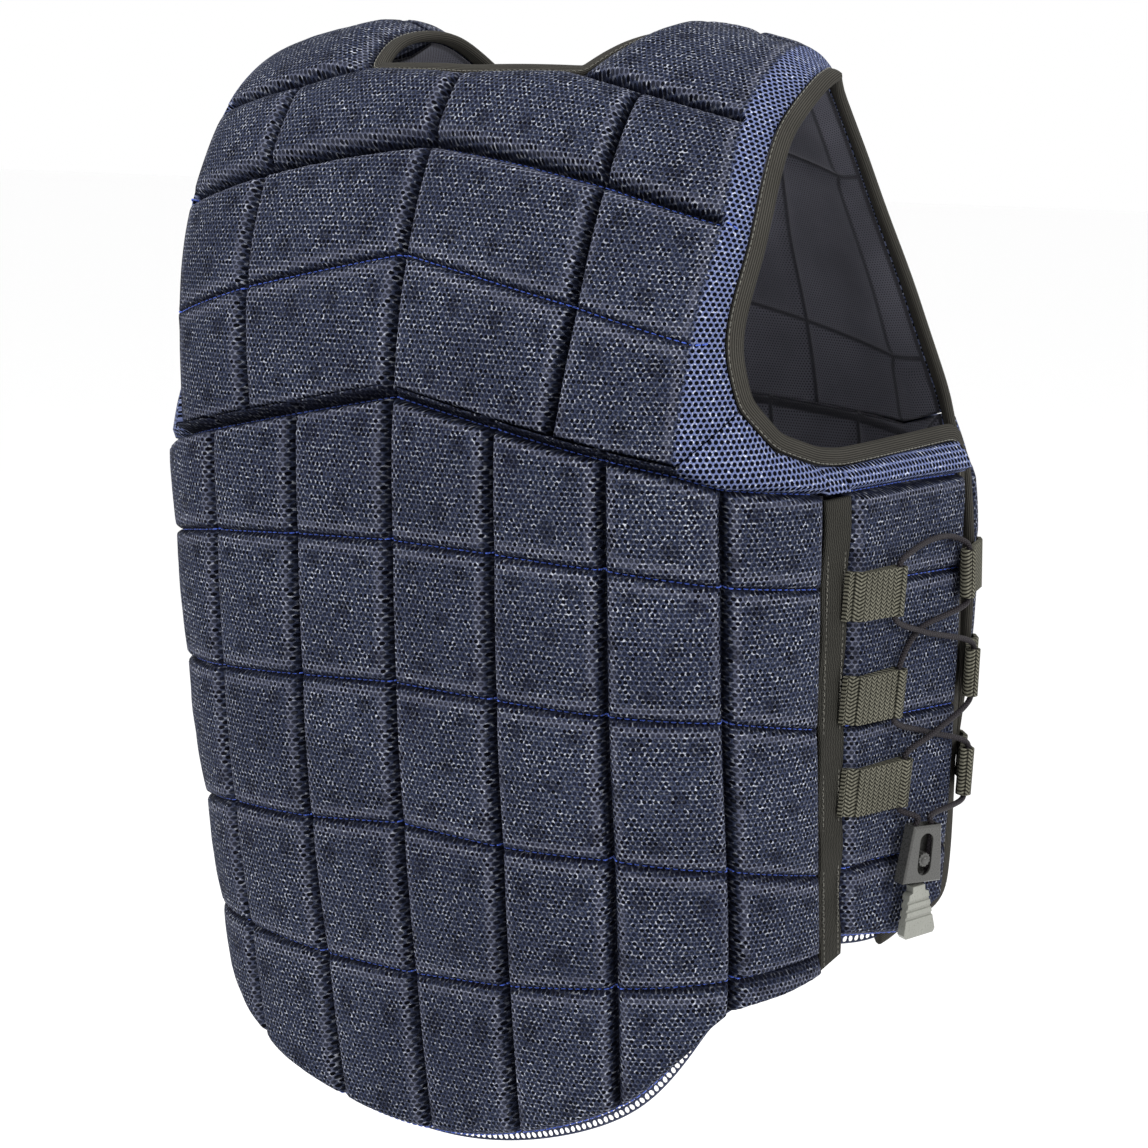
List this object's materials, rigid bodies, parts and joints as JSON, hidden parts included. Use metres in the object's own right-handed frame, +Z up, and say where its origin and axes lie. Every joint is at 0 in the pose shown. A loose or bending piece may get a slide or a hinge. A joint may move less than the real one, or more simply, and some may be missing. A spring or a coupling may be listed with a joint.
{
  "type": "equestrian_body_protector",
  "caption": "Rider's vest of padded foam blocks under mesh, zipped at the front and laced at both sides through webbing loops with a sliding cord lock.",
  "frame": {"origin": "on the midline between the shoulders, level with their top, inside the neck opening, where the wearer's neck stands", "axes": "+X is the wearer's right, +Y the wearer's front, +Z up"},
  "size_m": [0.424, 0.2844, 0.5645],
  "materials": {
    "block_mesh": "open spacer mesh, slight sheen",
    "lining": "fine mesh, matte",
    "binding": "folded tape, matte",
    "webbing": "ribbed webbing, matte",
    "lace": "braided elastic, slight sheen",
    "lock": "satin",
    "clip": "satin",
    "zip": "matte tape"
  },
  "bodies": {
    "vest": {"back_yoke": "block_mesh", "back_body": "block_mesh", "side_flap_right": "block_mesh", "side_flap_left": "block_mesh", "shoulder_right": "block_mesh", "shoulder_left": "block_mesh", "front_yoke_right": "block_mesh", "front_yoke_left": "block_mesh", "front_body_right": "block_mesh", "front_body_left": "block_mesh", "back_yoke_lining": "lining", "back_body_lining": "lining", "front_yoke_lining_right": "lining", "front_yoke_lining_left": "lining", "front_body_lining_right": "lining", "front_body_lining_left": "lining", "neck_binding": "binding", "edge_binding_right": "binding", "edge_binding_left": "binding", "hem_mesh": "block_mesh", "flap_hem_mesh_right": "block_mesh", "flap_hem_mesh_left": "block_mesh", "side_tape_right": "binding", "side_tape_left": "binding", "tape_loop_1_right": "webbing", "tape_loop_1_left": "webbing", "tape_loop_2_right": "webbing", "tape_loop_2_left": "webbing", "tape_loop_3_right": "webbing", "tape_loop_3_left": "webbing", "edge_loop_1_right": "webbing", "edge_loop_1_left": "webbing", "edge_loop_2_right": "webbing", "edge_loop_2_left": "webbing", "edge_loop_3_right": "webbing", "edge_loop_3_left": "webbing", "lock_housing_right": "lock", "lock_housing_left": "lock", "lace_end_clip_right": "clip", "lace_end_clip_left": "clip", "lace_right": "lace", "lace_left": "lace", "front_zip": "zip", "zip_pull": "lock"},
    "roller_right": {"lock_roller_right": "lock"},
    "roller_left": {"lock_roller_left": "lock"}
  },
  "joints": [
    {"name": "slide_roller_right", "type": "slide", "parent": "vest", "child": "roller_right", "axis": [0.1058, 0, 0.9944], "range_m": [-0.0038, 0.0095]},
    {"name": "slide_roller_left", "type": "slide", "parent": "vest", "child": "roller_left", "axis": [-0.1058, 0, 0.9944], "range_m": [-0.0038, 0.0095]}
  ]
}
